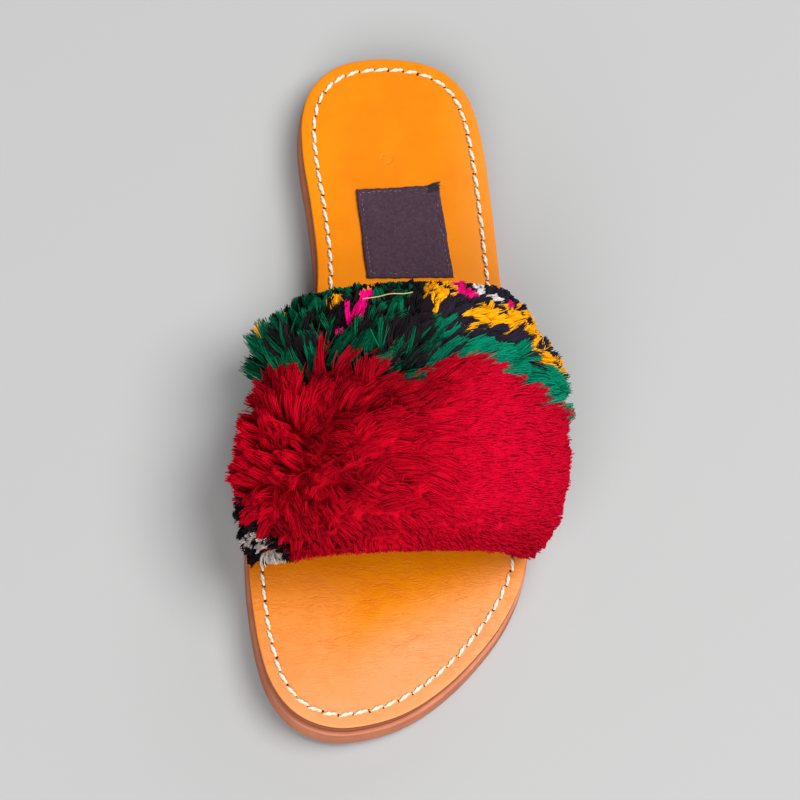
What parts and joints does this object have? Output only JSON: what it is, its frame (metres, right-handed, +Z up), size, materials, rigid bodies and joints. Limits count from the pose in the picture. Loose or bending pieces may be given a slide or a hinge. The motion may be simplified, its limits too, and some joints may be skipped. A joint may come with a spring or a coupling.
{
  "type": "slide sandal",
  "caption": "Left slide sandal: tan leather insole on a flat leather sole with a little toe spring, under one wide strap of deep red and green wool pile.",
  "frame": {"origin": "on the floor, on the flat bottom of the outsole, under the middle of the insole's length", "axes": "+Z up from the floor, +Y towards the heel, +X towards the outer (little toe) side"},
  "size_m": [0.1261, 0.2684, 0.0798],
  "materials": {
    "outsole": "satin edge",
    "midsole": "dark stained edge",
    "insole": "smooth waxed tan",
    "strap_band": "matte woven ground",
    "pile_red": "deep wool pile",
    "pile_green": "deep wool pile",
    "label": "matte woven cloth"
  },
  "bodies": {
    "root": {"outsole": "outsole", "midsole": "midsole", "insole": "insole", "strap_band": "strap_band", "pile_red": "pile_red", "pile_green": "pile_green", "label": "label"}
  },
  "joints": []
}
